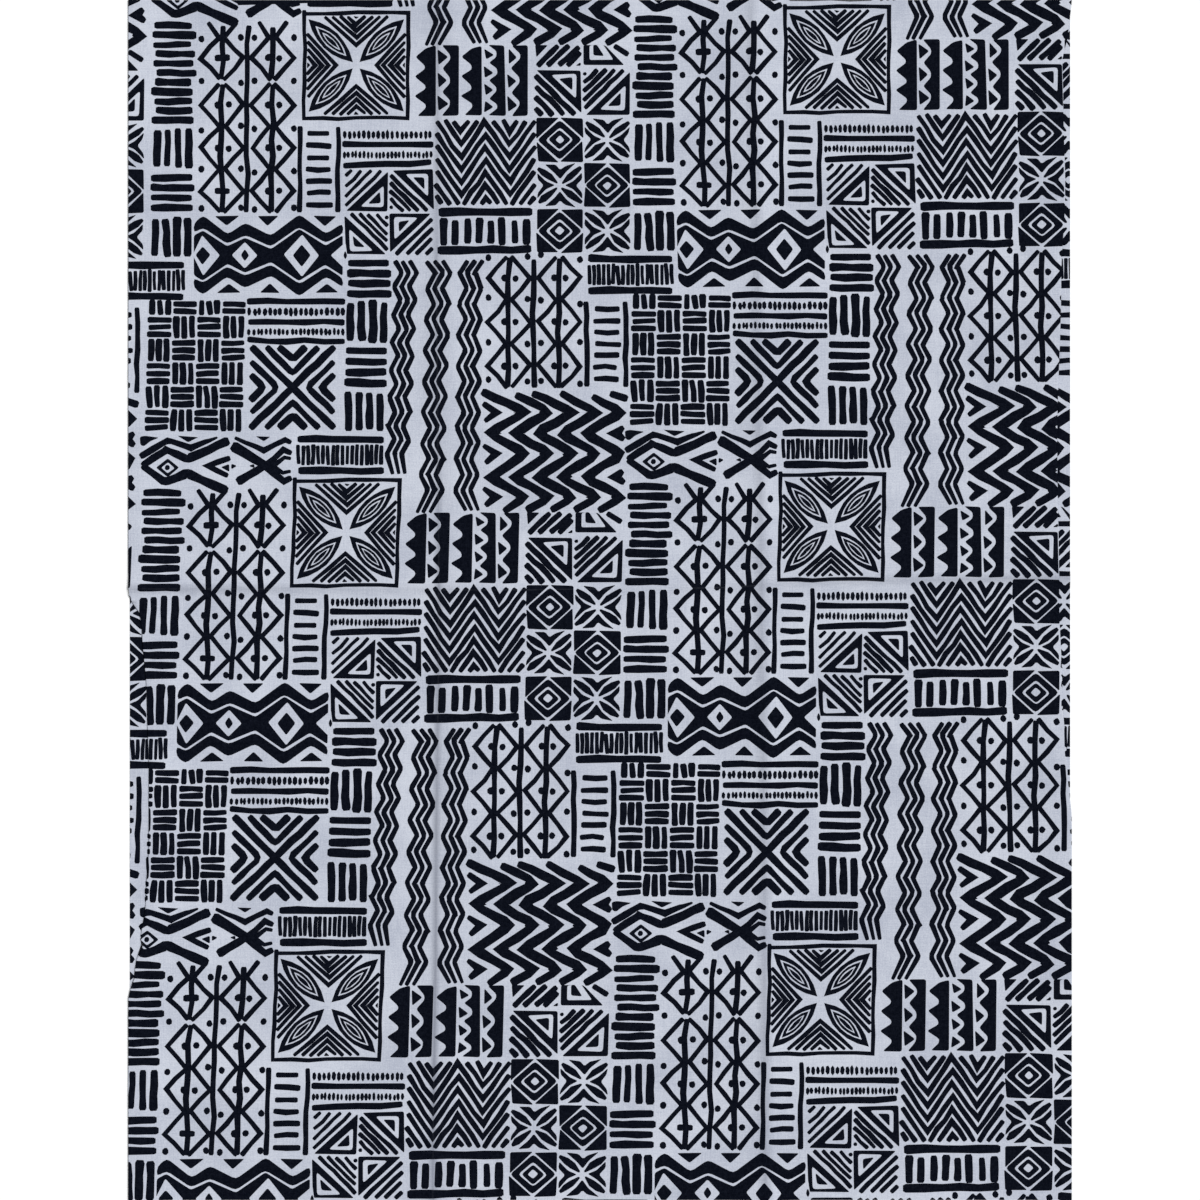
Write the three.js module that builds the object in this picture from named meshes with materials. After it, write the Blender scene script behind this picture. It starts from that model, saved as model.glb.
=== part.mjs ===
import * as THREE from 'three';

// A cut length of printed cotton cloth, laid out face up with its storage creases still in it.
// One sheet: X runs along the selvedge, Y across the loom width, Z up from the surface below.
// A narrow tuck runs down each end, where the cloth doubles back under itself before the cut edge.

// Sheet, in mm
const LAID_LENGTH = 940;
const LOOM_WIDTH = 1200;
const THICKNESS = 1.2;

// Tucks: three layers lie flat on each other, joined by two tight bends
const LAYER_GAP = 0.4;
const LAP = 10;
const RAMP_LENGTH = 34;
const BEND_STEPS = 4;
const RAMP_STEPS = 5;

const BEND_RADIUS = (THICKNESS + LAYER_GAP) / 2;
const BEND_REACH = BEND_RADIUS + THICKNESS / 2;
const LOW_LAYER = THICKNESS / 2;
const MID_LAYER = LOW_LAYER + 2 * BEND_RADIUS;
const TOP_LAYER = MID_LAYER + 2 * BEND_RADIUS;

// Where the fold of each tuck shows: x of the fold along y
const START_FOLD = [
  { y: -600, x: -471.5 },
  { y: -400, x: -471.5 },
  { y: -370, x: -465 },
  { y: -340, x: -459 },
  { y: -300, x: -454 },
  { y: -240, x: -451 },
  { y: -170, x: -451 },
  { y: -100, x: -453 },
  { y: -25, x: -458 },
  { y: 10, x: -471.5 },
  { y: 600, x: -471.5 },
];
const END_FOLD = [
  { y: -600, x: 471.5 },
  { y: -220, x: 471.5 },
  { y: -170, x: 467 },
  { y: -90, x: 462 },
  { y: 0, x: 459 },
  { y: 160, x: 457 },
  { y: 320, x: 461 },
  { y: 410, x: 465 },
  { y: 500, x: 463 },
  { y: 540, x: 462 },
  { y: 565, x: 468 },
  { y: 600, x: 471.5 },
];

// The two creases across the length: where each crest runs, how high it stands, how far it spreads
const FIRST_CREASE = [
  { y: -600, x: -166, height: 1.6, spread: 20 },
  { y: -300, x: -163, height: 2.4, spread: 22 },
  { y: 0, x: -160, height: 1.8, spread: 18 },
  { y: 300, x: -162, height: 2.6, spread: 24 },
  { y: 600, x: -161, height: 2.0, spread: 20 },
];
const SECOND_CREASE = [
  { y: -600, x: 166, height: 3.2, spread: 38 },
  { y: -300, x: 165, height: 3.8, spread: 44 },
  { y: 0, x: 162, height: 3.0, spread: 36 },
  { y: 300, x: 158, height: 4.2, spread: 46 },
  { y: 600, x: 152, height: 3.4, spread: 40 },
];
const CREASE_STATIONS = [-1, -0.75, -0.5, -0.25, -0.08, 0, 0.08, 0.25, 0.5, 0.75, 1];

// The half fold along the length: how high its crest stands along x
const HALF_FOLD_Y = 10;
const HALF_FOLD_SPREAD = 13;
const HALF_FOLD = [
  { x: -480, height: 1.6 },
  { x: -300, height: 1.8 },
  { x: -120, height: 0.8 },
  { x: 100, height: 0.6 },
  { x: 260, height: 1.4 },
  { x: 480, height: 1.7 },
];
const HALF_FOLD_STATIONS = [-1, -0.6, -0.3, 0, 0.3, 0.6, 1];
const ROW_STEP = 40;

const lerp = THREE.MathUtils.lerp;
const smooth = (t) => THREE.MathUtils.smoothstep(t, 0, 1);

// Reads one column of a table between its rows, easing from row to row.
function between(table, along, at, column) {
  const last = table.length - 2;
  const found = table.findIndex((row, i) => i <= last && at <= table[i + 1][along]);
  const i = found < 0 ? last : found;
  const t = (at - table[i][along]) / (table[i + 1][along] - table[i][along]);
  return lerp(table[i][column], table[i + 1][column], smooth(t));
}

// A crease's flank: a crest that runs out flat onto the surface.
function crest(offset, height, spread) {
  const t = Math.max(0, 1 - Math.abs(offset) / spread);
  return height * t * t;
}

function halfFoldLift(x, y) {
  return crest(y - HALF_FOLD_Y, between(HALF_FOLD, 'x', x, 'height'), HALF_FOLD_SPREAD);
}

// The open cloth between the tucks: height of its middle surface over x at one y.
function openHeight(x, y, start, end) {
  const creases = [FIRST_CREASE, SECOND_CREASE].map((table) =>
    crest(
      x - between(table, 'y', y, 'x'),
      between(table, 'y', y, 'height'),
      between(table, 'y', y, 'spread'),
    ));
  const startRamp = smooth(1 - (x - start - LAP) / RAMP_LENGTH);
  const endRamp = smooth(1 - (end - LAP - x) / RAMP_LENGTH);
  const tuckLift = (TOP_LAYER - LOW_LAYER) * (startRamp + endRamp);
  return LOW_LAYER + tuckLift + creases[0] + creases[1];
}

// Points round one bend, each with the direction its face looks in.
function bend(x, z, side, faceOut) {
  const points = [];
  for (let i = 0; i <= BEND_STEPS; i += 1) {
    const angle = Math.PI * (i / BEND_STEPS - 0.5);
    const out = { x: side * Math.cos(angle), z: Math.sin(angle) };
    points.push({
      x: x + BEND_RADIUS * out.x,
      z: z + BEND_RADIUS * out.z,
      faceX: faceOut * out.x,
      faceZ: faceOut * out.z,
    });
  }
  return points;
}

// One tuck, from its cut edge on the surface up to the layer that shows.
function tuck(fold, side) {
  const cut = side * LAID_LENGTH / 2;
  const inner = fold - side * (LAP - BEND_REACH);
  const outer = fold - side * BEND_REACH;
  const flat = (x) => ({ x, z: LOW_LAYER, faceX: 0, faceZ: 1 });
  return [
    flat(cut),
    flat(lerp(cut, inner, 0.5)),
    ...bend(inner, LOW_LAYER + BEND_RADIUS, -side, -1),
    ...bend(outer, MID_LAYER + BEND_RADIUS, side, 1),
  ];
}

// Stations along the open cloth: down one ramp, over both creases, up the other ramp.
function openStations(y, start, end) {
  const xs = [];
  for (let i = 0; i <= RAMP_STEPS; i += 1) {
    xs.push(start + LAP + RAMP_LENGTH * i / RAMP_STEPS);
  }
  for (const table of [FIRST_CREASE, SECOND_CREASE]) {
    const middle = between(table, 'y', y, 'x');
    const spread = between(table, 'y', y, 'spread');
    CREASE_STATIONS.forEach((station) => xs.push(middle + spread * station));
  }
  for (let i = RAMP_STEPS; i >= 0; i -= 1) {
    xs.push(end - LAP - RAMP_LENGTH * i / RAMP_STEPS);
  }
  return xs;
}

// The whole length of cloth at one y, from cut edge to cut edge.
function section(y) {
  const start = between(START_FOLD, 'y', y, 'x');
  const end = between(END_FOLD, 'y', y, 'x');
  const open = openStations(y, start, end).map((x) => {
    const z = openHeight(x, y, start, end);
    const step = 0.5;
    const rise = openHeight(x + step, y, start, end) - openHeight(x - step, y, start, end);
    const face = new THREE.Vector2(-rise, 2 * step).normalize();
    return { x, z, faceX: face.x, faceZ: face.y };
  });
  const path = [...tuck(start, -1), ...open, ...tuck(end, 1).reverse()];
  path.forEach((point) => {
    point.z += halfFoldLift(point.x, y);
  });
  return path;
}

function rows() {
  const fold = HALF_FOLD_STATIONS.map((station) => HALF_FOLD_Y + HALF_FOLD_SPREAD * station);
  const ys = [];
  for (let y = -LOOM_WIDTH / 2; y <= LOOM_WIDTH / 2; y += ROW_STEP) {
    if (Math.abs(y - HALF_FOLD_Y) > HALF_FOLD_SPREAD) {
      ys.push(y);
    }
  }
  return [...ys, ...fold].sort((a, b) => a - b);
}

// Both faces of the sheet and the four cut edges, as one closed skin.
function sheetGeometry() {
  const ys = rows();
  const grid = ys.map((y) => section(y));
  const down = ys.length;
  const across = grid[0].length;
  const positions = [];
  for (const side of [1, -1]) {
    grid.forEach((path, j) => path.forEach((p) => {
      const reach = side * THICKNESS / 2;
      positions.push(p.x + reach * p.faceX, ys[j], p.z + reach * p.faceZ);
    }));
  }
  const face = (j, i) => j * across + i;
  const back = (j, i) => down * across + j * across + i;
  const index = [];
  const quad = (a, b, c, d) => index.push(a, b, c, a, c, d);
  for (let j = 0; j < down - 1; j += 1) {
    for (let i = 0; i < across - 1; i += 1) {
      quad(face(j, i), face(j, i + 1), face(j + 1, i + 1), face(j + 1, i));
      quad(back(j, i), back(j + 1, i), back(j + 1, i + 1), back(j, i + 1));
    }
  }
  for (let j = 0; j < down - 1; j += 1) {
    quad(face(j, 0), face(j + 1, 0), back(j + 1, 0), back(j, 0));
    quad(face(j + 1, across - 1), face(j, across - 1), back(j, across - 1), back(j + 1, across - 1));
  }
  for (let i = 0; i < across - 1; i += 1) {
    quad(face(0, i + 1), face(0, i), back(0, i), back(0, i + 1));
    quad(face(down - 1, i), face(down - 1, i + 1), back(down - 1, i + 1), back(down - 1, i));
  }
  const geometry = new THREE.BufferGeometry();
  geometry.setAttribute('position', new THREE.Float32BufferAttribute(positions, 3));
  geometry.setIndex(index);
  geometry.computeVertexNormals();
  return geometry;
}

const printedCotton = new THREE.MeshStandardMaterial({ color: 0xbbc1ce, roughness: 0.9, metalness: 0 });

const group = new THREE.Group();
const cloth = new THREE.Mesh(sheetGeometry(), printedCotton);
cloth.name = 'wax_print_cloth';
group.add(cloth);

export default group;
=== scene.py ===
# %% [markdown]
# # A length of wax print cloth, laid out flat
#
# The object is one cut length of printed cotton. It has been stored folded, and it now lies face
# up on a table with its creases still in it. Along both cut ends the cloth doubles back under
# itself in a narrow tuck.
#
# The plan is the one a mill follows: cut a flat rectangle, chart one repeat of the print, print it
# over the whole length, then fold the printed cloth. Every outline of the print is cut into the
# mesh, so the print is as sharp as a stencil in a close view and travels round the folds.

# %% Start from the shared frame
import math
import random
from collections import namedtuple

import bpy
import numpy as np
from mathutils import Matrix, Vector
from mathutils.geometry import delaunay_2d_cdt


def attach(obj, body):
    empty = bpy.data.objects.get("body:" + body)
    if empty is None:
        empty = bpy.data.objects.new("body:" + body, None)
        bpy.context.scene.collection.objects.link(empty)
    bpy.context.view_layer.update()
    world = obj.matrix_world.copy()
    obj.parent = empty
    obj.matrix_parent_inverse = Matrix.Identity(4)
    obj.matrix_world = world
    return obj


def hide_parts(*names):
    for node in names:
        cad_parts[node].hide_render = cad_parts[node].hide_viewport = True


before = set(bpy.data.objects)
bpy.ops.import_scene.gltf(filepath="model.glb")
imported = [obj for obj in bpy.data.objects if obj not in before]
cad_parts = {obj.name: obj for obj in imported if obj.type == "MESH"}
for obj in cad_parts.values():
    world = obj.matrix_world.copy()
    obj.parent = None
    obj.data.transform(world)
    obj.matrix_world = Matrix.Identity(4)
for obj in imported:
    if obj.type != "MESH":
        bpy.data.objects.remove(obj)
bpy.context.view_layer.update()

# %% [markdown]
# ## The cut
#
# Cotton of this kind is about a third of a millimetre thick. The sheet here is a little thicker so
# that its cut edge shows. At each end it doubles back under itself, so the cut is longer than the
# cloth as laid: two half turns and two short runs are hidden in each tuck.

# %% Sizes in millimetres
MM = 0.001
LAID_LENGTH = 940.0
LOOM_WIDTH = 1200.0
THICKNESS = 0.6
LAYER_GAP = 0.4
LAP = 10.0
RAMP_LENGTH = 34.0

BEND_RADIUS = (THICKNESS + LAYER_GAP) / 2
BEND_REACH = BEND_RADIUS + THICKNESS / 2
BEND_ARC = math.pi * BEND_RADIUS
MIDDLE_RUN = LAP - 2 * BEND_REACH
LOW_LAYER = THICKNESS / 2
TUCK_RISE = 4 * BEND_RADIUS
FLAT_LENGTH = LAID_LENGTH + 4 * MIDDLE_RUN + 4 * BEND_ARC
HALF_LENGTH, HALF_WIDTH = FLAT_LENGTH / 2, LOOM_WIDTH / 2
print(f"cut {FLAT_LENGTH:.1f} x {LOOM_WIDTH:.0f} mm, laid {LAID_LENGTH:.0f} x {LOOM_WIDTH:.0f} mm")

# %% [markdown]
# ## Where the folds run
#
# The creases were pressed in by the weight of the stack: two across the length and a shallow one
# along it where the cloth was folded in half. Each is a soft ridge whose height and width change
# along its run, so each gets a small table, read off and listed. The two tucks have tables
# too, because the cloth was not folded back quite straight.

# %% Tables of the tucks and creases
# Rows of y and the distance of the fold from the middle of the cloth
START_FOLD = np.array([
    (-600, 471.5), (-400, 471.5), (-370, 465), (-340, 459), (-300, 454), (-240, 451),
    (-170, 451), (-100, 453), (-25, 458), (10, 471.5), (600, 471.5),
])
END_FOLD = np.array([
    (-600, 471.5), (-220, 471.5), (-170, 467), (-90, 462), (0, 459), (160, 457),
    (320, 461), (410, 465), (500, 463), (540, 462), (565, 468), (600, 471.5),
])
# Rows of y, x of the crest, its height, and how far its flanks spread
FIRST_CREASE = np.array([
    (-600, -166, 1.6, 20), (-300, -163, 2.4, 22), (0, -160, 1.8, 18),
    (300, -162, 2.6, 24), (600, -161, 2.0, 20),
])
SECOND_CREASE = np.array([
    (-600, 166, 3.2, 38), (-300, 165, 3.8, 44), (0, 162, 3.0, 36),
    (300, 158, 4.2, 46), (600, 152, 3.4, 40),
])
# The half fold: rows of x, the height of its crest, and y of the crest
HALF_FOLD = np.array([
    (-480, 1.6, 11), (-300, 1.8, 11), (-120, 0.8, 10),
    (100, 0.6, 12), (260, 1.4, 20), (480, 1.7, 22),
])
HALF_FOLD_SPREAD = 13.0
print("crests up to", max(table[:, 2].max() for table in (FIRST_CREASE, SECOND_CREASE)), "mm high")

# %% [markdown]
# ## Reading the tables
#
# Between the rows of a table the cloth changes gently, so values ease from one row to the next. A
# crest is steep at its top and runs out flat onto the table.

# %% Tables to ridges
def eased(at, table, column=1):
    """Reads a hand-set table between its rows, easing from one row to the next."""
    stops, values = table[:, 0], table[:, column]
    row = np.clip(np.searchsorted(stops, at, side="right") - 1, 0, len(stops) - 2)
    t = np.clip((at - stops[row]) / (stops[row + 1] - stops[row]), 0, 1)
    return values[row] + (values[row + 1] - values[row]) * t * t * (3 - 2 * t)


def crest(offset, height, spread):
    """A crease's ridge: steep at the crest, running out flat onto the table."""
    return height * np.clip(1 - np.abs(offset) / spread, 0, None) ** 2


def crease_lift(table, x, y):
    return crest(x - eased(y, table, 1), eased(y, table, 2), eased(y, table, 3))


def fold_distance(side, y):
    return np.where(side < 0, eased(y, START_FOLD), eased(y, END_FOLD))


print("first crest stands", crease_lift(FIRST_CREASE, np.array([-160.0]), np.zeros(1))[0], "mm")

# %% [markdown]
# ## Folding as a function
#
# A fold only bends cloth, it never stretches it. So folding is a function from a place on the flat
# cut to a place in space that keeps lengths: past the fold, the distance still to go is spent on a
# half turn, a run back underneath, another half turn and a run out to the cut edge. Cloth
# simulation could crumple a sheet too, but here every crease has a known place.

# %% The fold map
def folded(flat):
    """Where places on the flat cut end up, on the middle of the sheet's thickness, in mm."""
    along, y = flat[:, 0], flat[:, 1]
    side = np.where(along < 0, -1.0, 1.0)
    bend_start = fold_distance(side, y) - BEND_REACH
    past = np.abs(along) - bend_start
    upper_turn = np.clip(past / BEND_RADIUS, 0, math.pi)
    run_back = np.clip(past - BEND_ARC, 0, MIDDLE_RUN)
    lower_turn = np.clip((past - BEND_ARC - MIDDLE_RUN) / BEND_RADIUS, 0, math.pi)
    run_out = np.clip(past - 2 * BEND_ARC - MIDDLE_RUN, 0, None)
    reach = np.minimum(np.abs(along), bend_start) - run_back + run_out
    reach += BEND_RADIUS * (np.sin(upper_turn) - np.sin(lower_turn))
    ramp = np.clip(1 + (past + LAP - BEND_REACH) / RAMP_LENGTH, 0, 1)
    x = side * reach
    z = LOW_LAYER + TUCK_RISE * ramp * ramp * (3 - 2 * ramp)
    z -= BEND_RADIUS * (2 - np.cos(upper_turn) - np.cos(lower_turn))
    z += crease_lift(FIRST_CREASE, along, y) + crease_lift(SECOND_CREASE, along, y)
    z += crest(y - eased(x, HALF_FOLD, 2), eased(x, HALF_FOLD), HALF_FOLD_SPREAD)
    return np.column_stack((x, y, z))


def facing(flat, step=0.04):
    """The way the printed face looks at each place, from two short steps across it."""
    east, north = np.array((step, 0.0)), np.array((0.0, step))
    eastward = folded(flat + east) - folded(flat - east)
    northward = folded(flat + north) - folded(flat - north)
    normal = np.cross(eastward, northward)
    return normal / np.linalg.norm(normal, axis=1, keepdims=True)


told = np.array([(-HALF_LENGTH, -HALF_WIDTH), (HALF_LENGTH, HALF_WIDTH), (-165.0, -300.0)])
print("cut corners and a crest fold to", folded(told).round(2).tolist())

# %% [markdown]
# ## A hand to draw with
#
# The print looks brushed: lines have blunt ends, edges waver, nothing is quite parallel. So the
# chart is drawn with three tools, and the first is a stroke that wanders and swells. Ink bleeds
# into the yarn, so a line prints wider than its brush. Chart millimetres run right and down from
# the far left of the cloth. The random hand is seeded, so the print is the same each time.

# %% The chart and a steady line
hand = random.Random(5)
INK, GROUND = 1, 0
Shape = namedtuple("Shape", "outline tone")
shapes = []


def jitter(point, amount):
    return Vector((point[0] + hand.gauss(0, amount), point[1] + hand.gauss(0, amount)))


def rounder(line, soft, swell):
    """A line whose bends are eased over a short length on either side, and swell there."""
    eased_line = [line[0]]
    for before, here, after in zip(line, line[1:], line[2:]):
        start = here.lerp(before, min(0.4, soft / (before - here).xy.length))
        stop = here.lerp(after, min(0.4, soft / (after - here).xy.length))
        bend = here * 0.5 + (start + stop) * 0.25
        bend.z *= swell
        eased_line += [start, bend, stop]
    return eased_line + [line[-1]]


def even_steps(line, step):
    """A line with more points, about a step apart."""
    points = [line[0]]
    for a, b in zip(line, line[1:]):
        parts = max(1, round((b - a).xy.length / step))
        points += [a.lerp(b, k / parts) for k in range(1, parts + 1)]
    return points


print("tones on the chart: ground", GROUND, "and ink", INK)

# %% [markdown]
# ## The brushed stroke
#
# A stroke is an outline round a wandering middle line. Each point is set off to both sides, with a
# little more where the line turns, so that the width holds through the bend, and the ends are
# blunted. A curve object with a bevel could draw it too, but the triangulation needs an outline.

# %% Stroke
BLEED = 1.8
WANDER = (0.87, 1.13)
BLUNT = 0.85
THIN_END = 1.6


def cap(a, b):
    """Points that blunt the end of a stroke, from its edge a to its edge b."""
    middle, across = (a + b) / 2, (b - a) / 2
    out = across.orthogonal() * BLUNT
    turns = [math.radians(angle) for angle in ((90,) if across.length < THIN_END else (48, 132))]
    return [middle - across * math.cos(turn) + out * math.sin(turn) for turn in turns]


def stroke(path, width, step=11.0, shake=0.3, soft=0.0, swell=1.0):
    """A brushed line. The width is one number, or one for each point of the path."""
    widths = width if isinstance(width, tuple) else (width,) * len(path)
    line = [Vector((x, y, wide + BLEED)) for (x, y), wide in zip(path, widths)]
    line = even_steps(rounder(line, soft, swell) if soft else line, step)
    middle = [jitter(point, shake) for point in line]
    ends = [middle[0] * 2 - middle[1], *middle, middle[-1] * 2 - middle[-2]]
    left, right = [], []
    for before, here, after, point in zip(ends, middle, ends[2:], line):
        ahead = (after - here).normalized()
        across = ((here - before).normalized() + ahead).normalized().orthogonal()
        mitre = 1 / max(0.5, across.dot(ahead.orthogonal()))
        half = point.z / 2 * hand.uniform(*WANDER) * mitre
        left.append(here + across * half)
        right.append(here - across * half)
    outline = [*left, *cap(left[-1], right[-1]), *right[::-1], *cap(right[0], left[0])]
    shapes.append(Shape(outline, INK))


print(f"ink spreads {BLEED / 2} mm past the brush on either side")

# %% [markdown]
# ## Cut shapes and spots
#
# The other two tools are a cut shape, whose corners are softened as a stencil's would be, and a
# spot, whose rim is never quite round. `spread` shares a stretch out evenly, and `tell` counts what
# has been charted.

# %% Cut shape and spot
BROAD_CORNER = 1.2
SMALL_SPOT = 2.4


def blob(corners, tone=INK, soft=1.6, shake=0.3):
    """A cut shape whose corners are softened."""
    corners = [jitter(point, shake) for point in corners]
    outline = []
    for k, here in enumerate(corners):
        before, after = corners[k - 1] - here, corners[(k + 1) % len(corners)] - here
        start = here + before.normalized() * min(soft, 0.42 * before.length)
        stop = here + after.normalized() * min(soft, 0.42 * after.length)
        outline.append(start)
        if soft > BROAD_CORNER:
            outline.append(here * 0.5 + (start + stop) * 0.25)
        outline.append(stop)
    shapes.append(Shape(outline, tone))


def dot(x, y, wide, tall):
    """A spot, round or oval, given its half width and half height."""
    turn = hand.uniform(0, 1)
    sides = 6 if wide < SMALL_SPOT else 8
    ring = []
    for k in range(sides):
        angle = math.tau * (k + turn) / sides
        grow = hand.uniform(1.0, 1.2)
        ring.append(Vector((x + wide * grow * math.cos(angle), y + tall * grow * math.sin(angle))))
    shapes.append(Shape(ring, INK))


def spread(start, stop, count):
    """Middles of equal shares of a stretch."""
    return [start + (stop - start) * (k + 0.5) / count for k in range(count)]


def tell(name):
    print(f"{name}: {len(shapes)} shapes charted so far")


tell("before the first patch")

# %% [markdown]
# ## Bars
#
# The simplest patches are rows of bars. A box gives each patch its place: left, top, right and
# bottom. Bars share the box evenly, and each then gets its own ragged ends, lean and thickness.

# %% Chart the bars
def bars(box, count, fill=0.56, upright=False, ragged=2.8):
    """Parallel bars with uneven ends."""
    left, top, right, bottom = box
    low, high = (left, right) if upright else (top, bottom)
    start, stop = (top, bottom) if upright else (left, right)
    thick = (high - low) / count * fill
    for middle in spread(low, high, count):
        a = start + 0.3 * thick + hand.uniform(0, ragged)
        b = stop - 0.3 * thick - hand.uniform(0, ragged)
        tilt = hand.gauss(0, 0.3)
        ends = [(a, middle - tilt), (b, middle + tilt)]
        if upright:
            ends = [(across, down) for down, across in ends]
        stroke(ends, thick * hand.uniform(0.85, 1.15), shake=0.055 * thick)


bars((152, 21, 196.5, 125), 11, ragged=6.0)
for box in ((152, 128, 194, 168), (150, 217, 193, 258), (345, 301, 389, 343), (343, 392, 385, 431.5)):
    bars(box, 4, upright=True)
for box in ((150, 173, 194, 213), (347, 258, 391, 299), (344, 346, 388, 388)):
    bars(box, 4)
tell("bars")

# %% [markdown]
# ## Ladders and tick rows
#
# Ladders stand upright and tick rows lie across, but both are rails with short marks between. The
# rails are long and steady, the marks short and uneven.

# %% Chart the ladders and ticks
UPRIGHT, RUNG, RUNGS = 3.3, 3.7, 7


def ladder(box):
    """Two uprights with short rungs between."""
    left, top, right, bottom = box
    for x in (left + 3, right - 3):
        stroke([(x, top + 2), (x, bottom - 2)], UPRIGHT, step=14, shake=0.5)
    for y in spread(top + 2, bottom - 2, RUNGS):
        a, b = hand.uniform(10.5, 13), hand.uniform(9, 14)
        ends = [(left + a, y + hand.gauss(0, 0.4)), (right - b, y + hand.gauss(0, 0.4))]
        stroke(ends, RUNG, shake=0.4)


def tick_row(box, ticks, thick, rail):
    """A row of upright ticks between two rails."""
    left, top, right, bottom = box
    for y in (top + rail / 2, bottom - rail / 2):
        a, b = left + 4 + hand.uniform(0, 2.5), right - 4 - hand.uniform(0, 2.5)
        stroke([(a, y), (b, y + hand.gauss(0, 0.6))], rail, step=18, shake=0.4)
    for x in spread(left + 2, right - 2, ticks):
        start = top + rail + 2.5 + 0.3 * thick + hand.uniform(0, 0.7 * thick)
        stop = bottom - rail - 2.5 - 0.3 * thick - hand.uniform(0, 0.7 * thick)
        tilt, x = hand.gauss(0, 0.25), x + hand.gauss(0, 0.09 * thick)
        stroke([(x - tilt, start), (x + tilt, stop)], thick * hand.uniform(0.8, 1.2), shake=0.25)


ladder((297, 126, 341, 213))
ladder((584, 301, 628, 387))
tick_row((436, 208.5, 534, 254), 8, 5.6, 6.6)
tick_row((585, 256, 674, 293.5), 18, 2.2, 5.8)
tick_row((294, 436.5, 386, 473.5), 18, 2.3, 5.8)
tell("ladders and ticks")

# %% [markdown]
# ## Basket
#
# A woven basket is drawn as cells of three bars, turned this way and that. It is printed a little
# out of square, so each row slips sideways, and the top row is shorter than the rest.

# %% Chart the basket
SHORT_ROW, BASKET_LEAN = 15.6, 0.032


def basket(box):
    """Cells of three bars, upright and level by turns, under a short row of two."""
    left, top, right, bottom = box
    wide = (right - left) / 4
    full = top + SHORT_ROW
    edges = [top] + [full + (bottom - top - SHORT_ROW) / 5 * k for k in range(6)]
    for row in range(6):
        slip = BASKET_LEAN * (edges[row] - top)
        for column in range(4):
            x = left + wide * column - slip
            upright = (row + column) % 2 == 0
            cell = (x + 0.7, edges[row] + 0.6, x + wide - 0.8, edges[row + 1] - 0.6)
            bars(cell, 3 if upright or row else 2, fill=0.58, upright=upright, ragged=0.7)


basket((148, 300, 246.5, 432))
tell("basket")

# %% [markdown]
# ## Lines of spots
#
# Plain rules with rows of ovals and close spots between. Each spot has its own size, so a row reads
# as beads on a string.

# %% Chart the spots
RULE = 4.2


def dotted_lines(box, rows):
    """Rows across a patch: plain lines, rows of ovals and rows of close spots."""
    left, top, right, bottom = box
    for kind, down in rows:
        y = top + down
        if kind == "line":
            ends = [(left + 2, y + hand.gauss(0, 0.4)), (right - 2, y + hand.gauss(0, 0.4))]
            stroke(ends, RULE, step=20, shake=0.5)
            continue
        count, tall = (19, 4.2) if kind == "ovals" else (23, 3.6)
        for x in spread(left, right, count):
            wide = hand.uniform(0.36, 0.46) * (right - left) / count
            dot(x + hand.gauss(0, 0.3), y + hand.gauss(0, 0.3), wide, tall * hand.uniform(0.85, 1.1))


dotted_lines((342.5, 131, 433, 168), (("ovals", 4), ("line", 14), ("spots", 24), ("line", 33)))
FIVE_ROWS = (("line", 2), ("ovals", 12), ("line", 22), ("spots", 32), ("line", 41))
dotted_lines((247, 300, 345, 344), FIVE_ROWS)
tell("spots")

# %% [markdown]
# ## Close zigzags
#
# A zigzag that runs out of its patch has to stop at the edge. `inside` keeps only the stretches of
# a path that lie between two heights, and a stretch too short for a stroke becomes a spot.

# %% Chart the zigzags
ZIGZAG_PITCH, ZIGZAG_DROP, ZIGZAG_LINE = 12.6, 35, 3.4


def inside(path, top, bottom):
    """The stretches of a path that lie between two heights."""
    stretches = [[]]
    for a, b in zip(path, path[1:]):
        crossings = [(limit - a[1]) / (b[1] - a[1]) for limit in (top, bottom)]
        start, stop = max(0.0, min(crossings)), min(1.0, max(crossings))
        if start >= stop:
            continue
        ends = [Vector(a).lerp(Vector(b), t) for t in (start, stop)]
        if start > 0 or not stretches[-1]:
            stretches.append([ends[0]])
        stretches[-1].append(ends[1])
        if stop < 1:
            stretches.append([])
    return [stretch for stretch in stretches if stretch]


def close_zigzags(box):
    """Zigzags nested one under another."""
    left, top, right, bottom = box
    quarter = (right - left) / 4
    for k in range(-3, 7):
        y = top + 1 + ZIGZAG_PITCH * k
        path = [(left + quarter * j, y + (ZIGZAG_DROP if j % 2 else 0)) for j in range(5)]
        for piece in inside(path, top + 1, bottom - 2.5):
            if (piece[-1] - piece[0]).length > 5 or len(piece) > 2:
                stroke(piece, ZIGZAG_LINE, step=13, shake=0.45)
            else:
                dot(*piece[0], 2, 2)


close_zigzags((437, 121, 534, 206))
tell("zigzags")

# %% [markdown]
# ## The big cross
#
# A cross from corner to corner leaves four arms, and chevrons nest in each. A chevron points at the
# middle, so its tip is closer in than its ends.

# %% Chart the cross
CROSS_ARM = 5.6


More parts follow.
